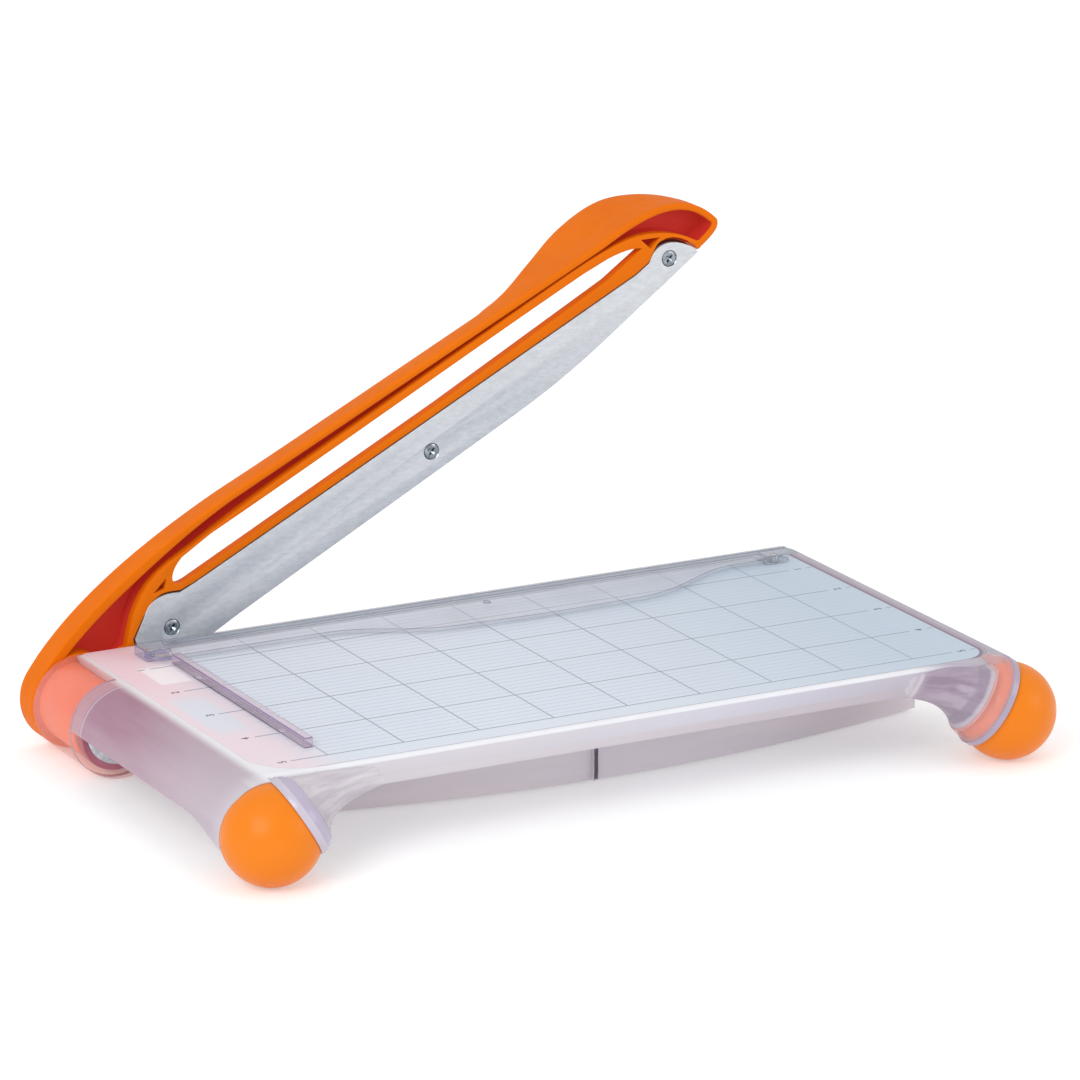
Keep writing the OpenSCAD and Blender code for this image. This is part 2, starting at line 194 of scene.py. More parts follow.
def loft(name, rings, space=BOARD, closed=False, caps=True):
    """Skin over rings of equal length; closed joins the last ring to the first."""
    n = len(rings[0])
    verts = [p for ring in rings for p in ring]
    faces = []
    count = len(rings)
    for i in range(count if closed else count - 1):
        j = (i + 1) % count
        for k in range(n):
            m = (k + 1) % n
            faces.append((i * n + k, i * n + m, j * n + m, j * n + k))
    if caps and not closed:
        faces.append(tuple(range(n))[::-1])
        faces.append(tuple((count - 1) * n + k for k in range(n)))
    obj = add_mesh(name, verts, faces, space)
    tidy_normals(obj)
    return obj


def prism(name, outline, low, high, axis="z", space=BOARD):
    """Solid from a closed outline; axis z stacks it upwards, axis y upright from low to high in depth."""
    def place(p, h):
        return (p[0], p[1], h) if axis == "z" else (p[0], h, p[1])
    return loft(name, [[place(p, low) for p in outline], [place(p, high) for p in outline]], space)


def block(name, low, high):
    """Box between two corners, square to the board."""
    return prism(name, [(low[0], low[1]), (high[0], low[1]), (high[0], high[1]), (low[0], high[1])],
                 low[2], high[2])


def plate(name, outer, holes, low, high, edge):
    """Upright plate of the arm with rounded edges, from an outline and its holes; low to high in depth."""
    cuts = [prism(name + "_hole", hole, low - 1, high + 1, "y", ARM) for hole in holes]
    obj = combine(prism(name, outer, low, high, "y", ARM), cuts)
    tidy_normals(obj)
    bevel(obj, edge, 3, 48)
    return obj


def lathe(name, profile, centre, along, space=BOARD, steps=64):
    """Turned solid: profile of (distance along the axis, radius), around the axis through centre."""
    along = Vector(along).normalized()
    side = along.orthogonal().normalized()
    up = along.cross(side)
    rings = []
    for i in range(steps):
        a = 2 * math.pi * i / steps
        out = side * math.cos(a) + up * math.sin(a)
        rings.append([Vector(centre) + along * h + out * r for h, r in profile])
    return loft(name, rings, space, closed=True)


def round_hinge(name, profile):
    """Turned part of the base around the hinge axis; distances run from the arm's side into the board."""
    return lathe(name, profile, (PIVOT.x, 0, PIVOT.z), (0, 1, 0), BOARD, 96)


def on_arm(name, profile, at=(0, 0), steps=64):
    """Turned part of the arm, square to its front face, at a place along the arm and up from the hinge."""
    return lathe(name, profile, (at[0], 0, at[1]), (0, 1, 0), ARM, steps)


def softened(node, width):
    """Copy of a CAD node with its flat faces cleaned up and its edges rounded; it replaces the node."""
    obj = bpy.data.objects.new(node + "_fine", frame["nodes"][node].data.copy())
    scene.collection.objects.link(obj)
    bm = bmesh.new()
    bm.from_mesh(obj.data)
    bmesh.ops.remove_doubles(bm, verts=bm.verts, dist=2e-6)
    bmesh.ops.dissolve_limit(bm, angle_limit=math.radians(0.6), verts=bm.verts, edges=bm.edges)
    bm.to_mesh(obj.data)
    bm.free()
    bevel(obj, width)
    shade(obj, 30)
    return obj


def finish_piece(obj, body, nodes, material):
    """Dress a piece with its material, put it on its body and hide the CAD nodes that it replaces."""
    obj.data.materials.clear()
    obj.data.materials.append(material)
    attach(obj, body)
    if nodes:
        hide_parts(*nodes)
    return obj


# ------------------------------------------------------------------ materials

class Nodes:
    """Short ways to make shader nodes in one material."""

    def __init__(self, name):
        self.material = bpy.data.materials.new(name)
        self.material.use_nodes = True
        self.tree = self.material.node_tree
        self.bsdf = self.tree.nodes["Principled BSDF"]

    def set(self, **values):
        for key, value in values.items():
            socket = self.bsdf.inputs[key.replace("_", " ")]
            if isinstance(value, tuple) and len(value) == 3:
                value = (*value, 1.0)
            socket.default_value = value
        return self

    def new(self, kind, **props):
        node = self.tree.nodes.new(kind)
        for key, value in props.items():
            setattr(node, key, value)
        return node

    def link(self, a, b):
        self.tree.links.new(a, b)

    def coords(self):
        return self.new("ShaderNodeTexCoord").outputs["Object"]

    def stretch(self, scale, turn=(0, 0, 0), source=None):
        node = self.new("ShaderNodeMapping")
        node.inputs["Scale"].default_value = scale
        node.inputs["Rotation"].default_value = turn
        self.link(source or self.coords(), node.inputs["Vector"])
        return node.outputs[0]

    def noise(self, scale, detail=2.0, rough=0.5, vector=None):
        node = self.new("ShaderNodeTexNoise")
        node.inputs["Scale"].default_value = scale
        node.inputs["Detail"].default_value = detail
        node.inputs["Roughness"].default_value = rough
        self.link(vector or self.coords(), node.inputs["Vector"])
        return node.outputs["Fac"]

    def remap(self, value, low, high, to_low, to_high, smoothly=False):
        node = self.new("ShaderNodeMapRange")
        if smoothly:
            node.interpolation_type = "SMOOTHSTEP"
        for key, v in zip(("From Min", "From Max", "To Min", "To Max"), (low, high, to_low, to_high)):
            node.inputs[key].default_value = v
        self.link(value, node.inputs["Value"])
        return node.outputs[0]

    def math(self, op, a, b=None, c=None):
        node = self.new("ShaderNodeMath", operation=op)
        for i, v in enumerate((a, b, c)):
            if v is None:
                continue
            if isinstance(v, (int, float)):
                node.inputs[i].default_value = v
            else:
                self.link(v, node.inputs[i])
        return node.outputs[0]

    def mix(self, fac, a, b, mode="MIX"):
        node = self.new("ShaderNodeMix", data_type="RGBA", blend_type=mode)
        if isinstance(fac, (int, float)):
            node.inputs[0].default_value = fac
        else:
            self.link(fac, node.inputs[0])
        for i, v in ((6, a), (7, b)):
            if isinstance(v, tuple):
                node.inputs[i].default_value = (*v, 1.0)
            else:
                self.link(v, node.inputs[i])
        return node.outputs[2]

    def bump(self, height, strength, distance):
        node = self.new("ShaderNodeBump")
        node.inputs["Strength"].default_value = strength
        node.inputs["Distance"].default_value = distance
        self.link(height, node.inputs["Height"])
        self.link(node.outputs[0], self.bsdf.inputs["Normal"])

    def split(self):
        node = self.new("ShaderNodeSeparateXYZ")
        self.link(self.coords(), node.inputs[0])
        return node.outputs

    def board_mm(self):
        """Coordinates along the board's axes in mm."""
        return [self.math("DIVIDE", self.math("SUBTRACT", value, start), MM)
                for value, start in zip(self.split(), ORIGIN)]

    def to(self, name, value):
        self.link(value, self.bsdf.inputs[name])


def moulded(name, base, dark, rough, grain, shine=0.5, painted_glow=0.0):
    """Injection-moulded plastic: slight colour drift, fine spark-eroded grain and uneven gloss; a glow
    strength makes it give off its base colour as painted light.
    """
    m = Nodes(name).set(IOR=1.5, Specular_IOR_Level=shine)
    drift = m.noise(38, 3)
    m.to("Base Color", m.mix(m.remap(drift, 0.3, 0.7, 0.0, 1.0), base, dark))
    m.to("Roughness", m.remap(m.noise(260, 3), 0.35, 0.65, rough - 0.05, rough + 0.07))
    m.bump(m.noise(2600, 2, 0.6), grain, 0.00004)
    if painted_glow:
        m.set(Emission_Color=base, Emission_Strength=painted_glow)
    return m.material


def steel(name, light, dark, turn, rough=0.3, mottle=1.0):
    """Rolled steel: long fine brush lines along the part and soft mottling."""
    m = Nodes(name).set(Metallic=0.8, Anisotropic=0.2)
    lines = m.noise(1.0, 4, 0.6, m.stretch((160, 400, 5200), turn))
    clouds = m.noise(1.0, 5, 0.72, m.stretch((420, 420, 900), turn))
    cast = m.noise(30, 3, 0.5)
    tone = m.math("MULTIPLY_ADD", m.remap(clouds, 0.3, 0.7, -0.5, 0.5), mottle,
                  m.remap(lines, 0.3, 0.7, 0.25, 0.75))
    tone = m.math("ADD", tone, m.remap(cast, 0.3, 0.7, -0.12, 0.12))
    m.to("Base Color", m.mix(tone, dark, light))
    m.to("Roughness", m.remap(clouds, 0.3, 0.7, rough - 0.06, rough + 0.1))
    m.bump(lines, 0.12, 0.00003)
    return m.material


def metal(name, colour, dark, rough=0.25):
    """Bright plated hardware with faint handling marks."""
    m = Nodes(name).set(Metallic=1.0)
    marks = m.noise(420, 4, 0.6)
    m.to("Base Color", m.mix(m.remap(marks, 0.35, 0.65, 0, 1), dark, colour))
    m.to("Roughness", m.remap(m.noise(900, 3), 0.3, 0.7, rough - 0.06, rough + 0.1))
    m.bump(marks, 0.1, 0.00003)
    return m.material


def clear(name, tint, solid, rough=0.06):
    """Clear moulded plastic: mostly see-through, with faint flow marks."""
    m = Nodes(name).set(IOR=1.46)
    flow = m.remap(m.noise(90, 2), 0.3, 0.7, 0.0, 1.0)
    m.to("Base Color", m.mix(flow, tint, tuple(0.9 * c for c in tint)))
    m.to("Alpha", m.remap(m.noise(45, 2), 0.3, 0.7, solid - 0.04, solid + 0.04))
    m.to("Roughness", m.remap(m.noise(90, 2), 0.3, 0.7, rough, rough + 0.05))
    m.bump(m.noise(60, 2), 0.06, 0.0002)
    return m.material


orange_arm = moulded("orange_arm", (0.725, 0.153, 0.003), (0.68, 0.138, 0.003), 0.5, 0.2, shine=0.05)
# painted shade and glow: a deep red for the faces in the arm's hollows, which also gives off its own colour
pocket_shade_and_glow = moulded("pocket_shade_and_glow", (0.54, 0.036, 0.024), (0.46, 0.028, 0.022), 0.5, 0.2,
                        shine=0.1, painted_glow=0.2)
# painted shadow: near-black for the gap round the blade, seen on the face behind it
blade_gap_shadow = moulded("blade_gap_shadow", (0.060, 0.012, 0.006), (0.040, 0.008, 0.004), 0.6, 0.1, shine=0.05)
orange_plug = moulded("orange_plug", (1.0, 0.24, 0.03), (0.95, 0.20, 0.03), 0.4, 0.1, shine=0.2)
orange_ball = moulded("orange_ball", (0.75, 0.192, 0.003), (0.73, 0.184, 0.003), 0.36, 0.03, shine=0.24)
blade_steel = steel("blade_steel", (0.69, 0.70, 0.73), (0.53, 0.55, 0.58), (0, OPEN_ANGLE, 0), 0.46, 0.9)
bed_steel = steel("bed_steel", (0.46, 0.50, 0.56), (0.30, 0.34, 0.40), (0, 0, 0), 0.36, 0.5)
screw_zinc = metal("zinc_screw", (0.46, 0.49, 0.52), (0.20, 0.23, 0.26), 0.24)
zinc = metal("zinc_steel", (0.74, 0.76, 0.79), (0.52, 0.55, 0.60), 0.22)
brass = metal("brass", (0.80, 0.62, 0.30), (0.62, 0.46, 0.20), 0.3)
nylon = moulded("nylon", (0.82, 0.79, 0.70), (0.76, 0.73, 0.64), 0.45, 0.2)
rubber = moulded("pad_rubber", (0.045, 0.045, 0.048), (0.03, 0.03, 0.032), 0.75, 0.6)
clear_guard = clear("clear_guard", (0.76, 0.73, 0.79), 0.16)
clear_fence = clear("clear_fence", (0.80, 0.66, 0.74), 0.40)
# painted shade along the clear parts' edges: darker, tinted copies of the clear looks for their sides,
# rounded edges and the guard's left end
guard_side_shade = clear("clear_guard_side", (0.42, 0.44, 0.50), 0.2)
guard_edge_shade = clear("clear_guard_line", (0.20, 0.22, 0.28), 0.6)
fence_side_shade = clear("clear_fence_side", (0.64, 0.53, 0.64), 0.38)
fence_edge_shade = clear("clear_fence_line", (0.24, 0.16, 0.32), 0.8)
clear_end_shade = clear("clear_end_shade", (0.34, 0.30, 0.50), 0.52)


def frame_material():
    """Milky underframe: lavender, with a painted pink glow near the orange hinge plug for the plug's light
    shining through.
    """
    m = Nodes("frosted_frame").set(IOR=1.42)
    hinge = m.new("ShaderNodeVectorMath", operation="DISTANCE")
    m.link(m.coords(), hinge.inputs[0])
    hinge.inputs[1].default_value = (HINGE.x + 0.004, HINGE.y - 0.010, HINGE.z + 0.002)
    # painted glow: pink light from the orange hinge plug, strongest near it
    near = m.remap(hinge.outputs["Value"], 0.018, 0.075, 1.0, 0.0, True)
    streak = m.noise(1.0, 3, 0.5, m.stretch((14, 60, 160)))
    colour = m.mix(m.remap(streak, 0.35, 0.65, 0, 1), (0.72, 0.655, 0.695), (0.655, 0.61, 0.665))
    m.to("Base Color", m.mix(near, colour, (0.68, 0.50, 0.51)))
    m.to("Roughness", m.remap(m.noise(120, 3), 0.3, 0.7, 0.37, 0.48))
    m.bump(m.noise(1800, 2, 0.6), 0.12, 0.00004)
    return m.material


def shell_material():
    """Milky shell: mauve round side, paler fascia with a darker lower half and right-hand margin."""
    m = Nodes("frosted_shell").set(Transmission_Weight=0.12, IOR=1.42)
    x, y, z = m.board_mm()
    # front fascia: lower and upper band, then paler to the left, darker to the right, and its end face
    fascia = m.mix(m.remap(z, -6.1, -5.4, 0.0, 1.0, True), (0.545, 0.485, 0.52), (0.59, 0.60, 0.69))
    fascia = m.mix(m.remap(x, 30, 190, 0.85, 0.0, True), fascia, (0.635, 0.605, 0.65))
    fascia = m.mix(m.remap(x, 110, 215, 0.0, 0.8, True), fascia, (0.47, 0.43, 0.50))
    fascia = m.mix(m.remap(x, 225, 229, 0.0, 1.0, True), fascia, (0.34, 0.29, 0.35))
    # painted highlight along the front edge's rim, and the level margin beside the label's right end
    rim_highlight = m.math("MULTIPLY", m.remap(z, -1.5, -0.9, 0.0, 0.9, True), m.remap(x, 196, 214, 1.0, 0.0, True))
    fascia = m.mix(rim_highlight, fascia, (0.84, 0.86, 0.89))
    margin = m.math("MULTIPLY", m.remap(z, -0.6, -0.1, 0.0, 0.8), m.remap(x, 196, 214, 0.0, 1.0, True))
    fascia = m.mix(margin, fascia, (0.42, 0.39, 0.46))
    # round side: darkest near the hinge, with a pink band and a pale seam beside the barrel
    round_side = m.mix(m.remap(y, -135, -50, 1.0, 0.0, True), (0.35, 0.175, 0.25), (0.46, 0.385, 0.45))
    round_side = m.mix(m.remap(y, -37.5, -36, 0.0, 0.8, True), round_side, (0.52, 0.27, 0.31))
    seam = m.math("MULTIPLY", m.remap(y, -38.6, -37.9, 0.0, 0.5, True),
                  m.remap(y, -37.6, -37.0, 1.0, 0.0, True))
    round_side = m.mix(seam, round_side, (0.66, 0.56, 0.62))
    colour = m.mix(m.remap(x, -29, -24.5, 1.0, 0.0, True), fascia, round_side)
    colour = m.mix(m.remap(y, -130, -141, 0.0, 0.5, True), colour, fascia)
    streak = m.noise(1.0, 3, 0.5, m.stretch((60, 14, 160)))
    m.to("Base Color", m.mix(m.remap(streak, 0.3, 0.7, 0.0, 0.22), colour, (0.66, 0.58, 0.65)))
    m.to("Roughness", m.remap(m.noise(120, 3), 0.3, 0.7, 0.28, 0.4))
    m.bump(m.noise(1800, 2, 0.6), 0.08, 0.00004)
    return m.material


def horn_material():
    """Clearer moulding of the two trumpets with painted light and dark streaks for highlights along them; the
    right one carries painted light and dark bands for what is seen through it.
    """
    m = Nodes("frosted_horn").set(Transmission_Weight=0.2, IOR=1.42, Roughness=0.2)
    place = m.board_mm()
    # painted highlights: light and dark streaks drawn along the trumpets
    painted_streaks = m.remap(m.noise(1.0, 3, 0.6, m.stretch((14, 60, 260))), 0.38, 0.62, 0.0, 1.0)
    left = m.mix(painted_streaks, (0.55, 0.49, 0.56), (0.76, 0.73, 0.77))
    right = m.mix(painted_streaks, (0.32, 0.25, 0.33), (0.48, 0.40, 0.49))
    reach = None  # distance from the ball's middle back along the cup's axis
    for value, at, along in zip(place, BALLS[1], (0.839, -0.186, -0.511)):
        term = m.math("MULTIPLY", m.math("SUBTRACT", at, value), along)
        reach = term if reach is None else m.math("ADD", reach, term)
    right = m.mix(m.remap(reach, 28, 35, 0.0, 1.0, True), right, (0.66, 0.61, 0.67))
    # painted light and dark bands across the right trumpet, for what is seen through it
    for low, high, tone in ((31.0, 31.4, (0.66, 0.62, 0.67)), (15.0, 16.6, (0.33, 0.28, 0.36)),
                            (12.2, 14.0, (0.62, 0.58, 0.64))):
        band = m.math("MULTIPLY", m.remap(reach, low - 0.7, low, 0.0, 0.75, True),
                      m.remap(reach, high, high + 0.7, 1.0, 0.0, True))
        right = m.mix(band, right, tone)
    m.to("Base Color", m.mix(m.remap(place[0], 80, 120, 0.0, 1.0), left, right))
    return m.material


shell_plastic = shell_material()
frame_plastic = frame_material()
horn_plastic = horn_material()
end_wall_plastic = clear("frosted_end_wall", (0.60, 0.20, 0.28), 0.9, 0.16)
barrel_plastic = clear("frosted_barrel", (0.90, 0.34, 0.29), 0.28, 0.16)
ring_plastic = clear("clear_ring", (0.50, 0.33, 0.42), 0.55, 0.12)
cup_plastic = clear("clear_cup", (0.96, 0.42, 0.36), 0.42, 0.08)
left_cup_plastic = clear("clear_left_cup", (0.50, 0.44, 0.57), 0.92, 0.12)
left_lip_plastic = clear("clear_left_lip", (0.58, 0.54, 0.64), 0.92, 0.12)
lip_plastic = clear("clear_lip", (0.44, 0.37, 0.48), 0.88, 0.12)
rib_plastic = clear("clear_rib", (0.30, 0.25, 0.38), 0.9, 0.12)


def label_material():
    """Satin printed film: inch squares, eighth-inch rules and soft tints."""
    m = Nodes("printed_label").set(IOR=1.45)
    x, y, _ = m.board_mm()

    def rule(value, step, width, soft=0.10):
        """1 on lines every step, width wide."""
        near = m.math("PINGPONG", value, step / 2)
        return m.remap(near, width / 2 - soft / 2, width / 2 + soft / 2, 1.0, 0.0, True)

    def inside(value, low, high, soft=0.15):
        up = m.remap(value, low - soft, low + soft, 0.0, 1.0, True)
        down = m.remap(value, high - soft, high + soft, 1.0, 0.0, True)
        return m.math("MULTIPLY", up, down)

    def times(*values):
        out = values[0]
        for v in values[1:]:
            out = m.math("MULTIPLY", out, v)
        return out

    on_grid_x = inside(x, -0.2, 8 * INCH + 0.2)
    on_grid_y = inside(y, -5 * INCH - 0.2, 0)
    # printed lines
    numbered = times(rule(y, INCH, 0.55), inside(y, -5.1 * INCH, -0.5 * INCH))
    inches = m.math("MAXIMUM", times(numbered, inside(x, -12, 8 * INCH + 14.2)),
                    times(numbered, inside(x, 224, 226)))
    halves = times(rule(y, INCH / 2, 0.30), on_grid_x, on_grid_y)
    eighths = times(rule(y, INCH / 8, 0.44), inside(x, -0.2, 8 * INCH + 12.5), on_grid_y)
    across = times(rule(x, INCH, 0.5), on_grid_x, on_grid_y)
    ticks = times(rule(y, INCH / 4, 0.26), inside(x, -5.5, 0), on_grid_y)

    # film: blue-grey, darker to the right; beside the hinge a painted pink reflection of the orange arm,
    # broken by a blue patch, and a pale painted highlight patch
    film = m.noise(1.0, 3, 0.5, m.stretch((20, 20, 20)))
    paper = m.mix(m.remap(film, 0.3, 0.7, 0, 1), (0.595, 0.655, 0.73), (0.63, 0.685, 0.755))
    paper = m.mix(m.remap(x, 60, 240, 0.0, 0.55, True), paper, (0.30, 0.40, 0.52))
    # painted reflection: pink from the orange arm beside the hinge
    painted_arm_reflection = times(m.remap(x, -14, 6, 1.0, 0.0, True), m.remap(y, -140, -10, 0.75, 1.0, True))
    patch = m.remap(m.math("ABSOLUTE", m.math("ADD", x, 15)), 4.0, 7.0, 1.0, 0.0, True)
    patch = m.math("MULTIPLY", patch, inside(y, -94, -58, 7))
    painted_arm_reflection = m.math("MULTIPLY", painted_arm_reflection, m.math("SUBTRACT", 1.0, m.math("MULTIPLY", patch, 0.85)))
    paper = m.mix(m.math("MULTIPLY", painted_arm_reflection, 0.85), paper, (0.80, 0.60, 0.65))
    # painted highlight: a pale patch beside the hinge
    shine = times(inside(x, -15.5, -5, 0.8), inside(y, -42, -24, 0.8))
    paper = m.mix(m.math("MULTIPLY", shine, 0.8), paper, (0.86, 0.83, 0.85))
    dark = (0.22, 0.25, 0.30)
    paper = m.mix(m.math("MULTIPLY", eighths, 0.72), paper, (0.38, 0.45, 0.58))
    paper = m.mix(m.math("MULTIPLY", halves, 0.35), paper, (0.38, 0.45, 0.56))
    paper = m.mix(m.math("MULTIPLY", ticks, 0.45), paper, dark)
    paper = m.mix(m.math("MULTIPLY", across, 0.85), paper, (0.21, 0.25, 0.32))
    paper = m.mix(inches, paper, (0.20, 0.24, 0.30))
    # painted shadow: dark line round the label's right edges and its rounded front corner, where the raised
    # rim stands, with the shell beyond it
    corner = [m.math("MAXIMUM", m.math("SUBTRACT", x, 217.4), 0.0),
              m.math("MAXIMUM", m.math("SUBTRACT", -126.2, y), 0.0)]
    reach = m.math("SQRT", m.math("ADD", *(m.math("MULTIPLY", c, c) for c in corner)))
    paper = m.mix(m.remap(reach, 8.9, 9.2, 0.0, 1.0, True), paper, (0.20, 0.145, 0.20))
    paper = m.mix(m.remap(reach, 9.9, 10.6, 0.0, 1.0, True), paper, (0.34, 0.29, 0.35))
    m.to("Base Color", paper)
    m.to("Roughness", m.remap(film, 0.3, 0.7, 0.30, 0.42))
    m.bump(m.noise(700, 2), 0.03, 0.00005)
    return m.material


label = label_material()
ink = moulded("print_ink", (0.10, 0.11, 0.14), (0.14, 0.15, 0.18), 0.5, 0.1)


# ------------------------------------------------------------------ moving arm
# Outlines are (distance along the arm, height above its line) in mm, both from the hinge.

TOP_LINE = (bez((-6, 14.2), (8, 21.5), (34, 28.2), (75, 28.6), 20)
            + [(a, 28.6 - 0.016 * (a - 75)) for a in list(range(85, 175, 9)) + list(range(175, 225, 2))]
            + bez((225, 26.2), (246, 27.5), (259, 24), (263.9, 9.5), 28)
            + bez((263.9, 9.5), (263.9, 6.6), (261.2, 5.3), (253.2, 4.2), 8)[1:])
SLOT = (bez((50, 12.6), (43.5, 12.6), (45, 18), (52, 20.2), 10)
        + bez((64, 21.2), (110, 20.6), (170, 21.4), (214, 20.8), 14)
        + bez((224, 20.2), (230, 19.4), (234, 18), (236, 16.2), 8)
        + [(220, 14.0), (190, 13.4), (150, 12.6)])
BLADE_TOP = ([(26, 6)] + bez((32, 10.6), (35, 14), (40, 14.6), (46, 10.6), 10)
             + [(52, 10.3), (140, 9.9), (230, 9.6)]
             + bez((236, 10.4), (240, 14.5), (246, 15), (252.5, 5.4), 12))
BLADE = ([(22, -10)] + BLADE_TOP + [(252.7, 3.7)]
         + bez((236.7, 1), (215, -2), (200, -6), (172, -6.4), 16) + [(60, -7.6), (40, -8.4)])
RAIL_TOP = (bez((22.3, 5.4), (27.4, 12), (34.4, 20.4), (47, 21.3), 8)
            + bez((57, 21.5), (68, 22.3), (80, 23), (93, 23.2), 4)
            + bez((204, 23.7), (215, 23.7), (226, 23.4), (233, 21.8), 5)
            + bez((233, 21.8), (241, 19.8), (249.2, 14.7), (254, 7.4), 7)[1:])
UPPER_EDGE = (bez((236.8, 16.6), (233, 19.6), (225, 20.8), (214, 21), 6)
              + [(170, 21.5), (110, 20.8), (64, 21.2)]
              + bez((52, 20.3), (44.8, 18.8), (45, 15), (46.2, 13.2), 6)
              + [(44.6, 12.6), (42.4, 13.4)])
POCKET_LEFT = [(44.4, 17.3), (42.3, 14.5), (38.3, 15.5)]
POCKET_RIGHT = [(236.9, 19.0), (243.3, 15.8), (238.6, 14.4)]


def rounded_hole(points, radius, n=4):
    """Triangle or other hole with its corners rounded."""
    out = []
    count = len(points)
    for i in range(count):
        p, a, b = (Vector(points[j % count]) for j in (i, i - 1, i + 1))
        out += bez(p + (a - p).normalized() * radius, p, p, p + (b - p).normalized() * radius, n)
    return [tuple(q) for q in out]


PALM_PLAN = (bez((178, ARM_REAR), (203, 12.8), (212, GRIP_REAR), (230, GRIP_REAR), 20)
             + bez((232, GRIP_REAR), (245, GRIP_REAR), (252, 20), (258, ARM_REAR + 0.1), 20))


def grip_depth(a):
    """How far back the palm rest reaches at a place along the arm."""
    for (a0, y0), (a1, y1) in zip(PALM_PLAN, PALM_PLAN[1:]):
        if a0 <= a <= a1:
            return lerp(y0, y1, (a - a0) / (a1 - a0))
    return ARM_REAR


def roll_off(a, depth, rear):
    """How far the top surface has fallen below its front edge at a depth; the palm rest swells upwards."""
    s = (depth - ARM_FRONT) / (rear - ARM_FRONT)
    drop = 1.3 * smooth((a - 15) / 90) * (1 - smooth((a - 185) / 20))
    swell = PALM_RISE * smooth((a - 206) / 20) * (1 - smooth((a - 238) / 14))
    share = smooth((depth - ARM_REAR + 2) / (GRIP_REAR - ARM_REAR))
    return drop * s * s - swell * share + 0.3 * smooth((a - 190) / 20) * s ** 8


def band_ring(point, inward, low, high, rear, thick, r_low, r_high):
    """Closed section of the arm's outer band between two depths, with rounded corners."""
    def corner(at, v, r, start):
        out = []
        for i in range(5):
            t = math.radians(start + 22.5 * i)
            out.append((at + r * math.cos(t), v + r * math.sin(t)))
        return out

    steps = 9
    flat = corner(low + r_low, r_low, r_low, 180)
    for i in range(1, steps):
        flat.append((lerp(low + r_low, high - r_high, i / steps), 0.0))
    flat += corner(high - r_high, r_high, r_high, 270)
    flat += corner(high - r_high, thick - r_high, r_high, 0)
    for i in range(1, steps):
        flat.append((lerp(high - r_high, low + r_low, i / steps), thick))
    flat += corner(low + r_low, thick - r_low, r_low, 90)
    return [(point[0] + inward[0] * (v + roll_off(point[0], y, rear)), y,
             point[1] + inward[1] * (v + roll_off(point[0], y, rear))) for y, v in flat]


def inward_normals(path):
    """Unit normals of an open path, to the right of its direction."""
    out = []
    for i, p in enumerate(path):
        a, b = Vector(path[max(i - 1, 0)]), Vector(path[min(i + 1, len(path) - 1)])
        d = (b - a).normalized()
        out.append((d.y, -d.x))
    return out


def band_thickness(a):
    """Thickness of the outer band, heavier near the hinge."""
    return lerp(3.6, RIB, smooth((a - 30) / 45))


hub_arc = [(HUB_R * math.cos(math.radians(t)), HUB_R * math.sin(math.radians(t)))
           for t in range(200, 114, -6)]
band_path = hub_arc + TOP_LINE
normals = inward_normals(band_path)
band = loft("band", [band_ring(p, n, ARM_FRONT, ARM_REAR, grip_depth(p[0]), band_thickness(p[0]), 0.7,
                               0.9 if grip_depth(p[0]) <= ARM_REAR + 0.3 else 0.12)
                     for p, n in zip(band_path, normals)], ARM)
grip_path = [(p, n) for p, n in zip(band_path, normals) if 180 < p[0] < 257.9 and p[1] > 12]
grip = loft("palm_rest", [band_ring(p, n, ARM_REAR - 0.1, grip_depth(p[0]), grip_depth(p[0]), RIB, 0.05,
                                    min(1.1, max(0.06, (grip_depth(p[0]) - ARM_REAR) * 0.45)))
                          for p, n in grip_path], ARM)

PLATE_EDGE = 0.4
corner_holes = [rounded_hole(POCKET_LEFT, 0.5), rounded_hole(POCKET_RIGHT, 0.6)]
front_outline = (RAIL_TOP + [(257.5, 5.6)]
                 + bez((253.6, 4.3), (251.8, 9.4), (248, 14.6), (242.8, 14.6), 6)
                 + bez((242.8, 14.6), (240.6, 14.6), (239, 12.6), (236, 10.8), 4)[1:]
                 + [(230, 10.0), (140, 10.3), (52, 10.7)]
                 + bez((46.6, 11.1), (44, 12.4), (42, 14), (39, 13.8), 4)
                 + bez((39, 13.8), (35, 13.5), (31, 10.4), (25.5, 6.4), 6)[1:]
                 + [(21.4, -9.6), (13, -9.6), (14.6, 0), (13, 6)])
front_frame = plate("front_frame", front_outline, [SLOT] + corner_holes, ARM_FRONT + OFFSET, 3.9, PLATE_EDGE)
TIP_EDGE = bez((250.2, 8.8), (248.2, 11.8), (244.4, 15.9), (238.6, 13.6), 6)
HEEL_EDGE = bez((38.3, 14.2), (32, 12.6), (24.2, 8.2), (21, -2), 8)
deep_outline = (RAIL_TOP + [(253, 6.2)] + TIP_EDGE + UPPER_EDGE + HEEL_EDGE
                + [(19, -9.4), (12, -9.4), (13.4, 2)])
deep_frame = plate("deep_frame", deep_outline, corner_holes, 3.4, ARM_REAR - 0.06, PLATE_EDGE)
web_top = [(p[0] + n[0] * 1.9, p[1] + n[1] * 1.9) for p, n in zip(TOP_LINE, inward_normals(TOP_LINE))]
web_outline = ([(6, 10)] + web_top[2:-6] + [(259.5, 7.2), (253.2, 5.6)] + TIP_EDGE + UPPER_EDGE + HEEL_EDGE
               + [(19, -9.2), (8, -9)])
web = plate("web", web_outline, [], 8.3, ARM_REAR - 0.25, 0.3)
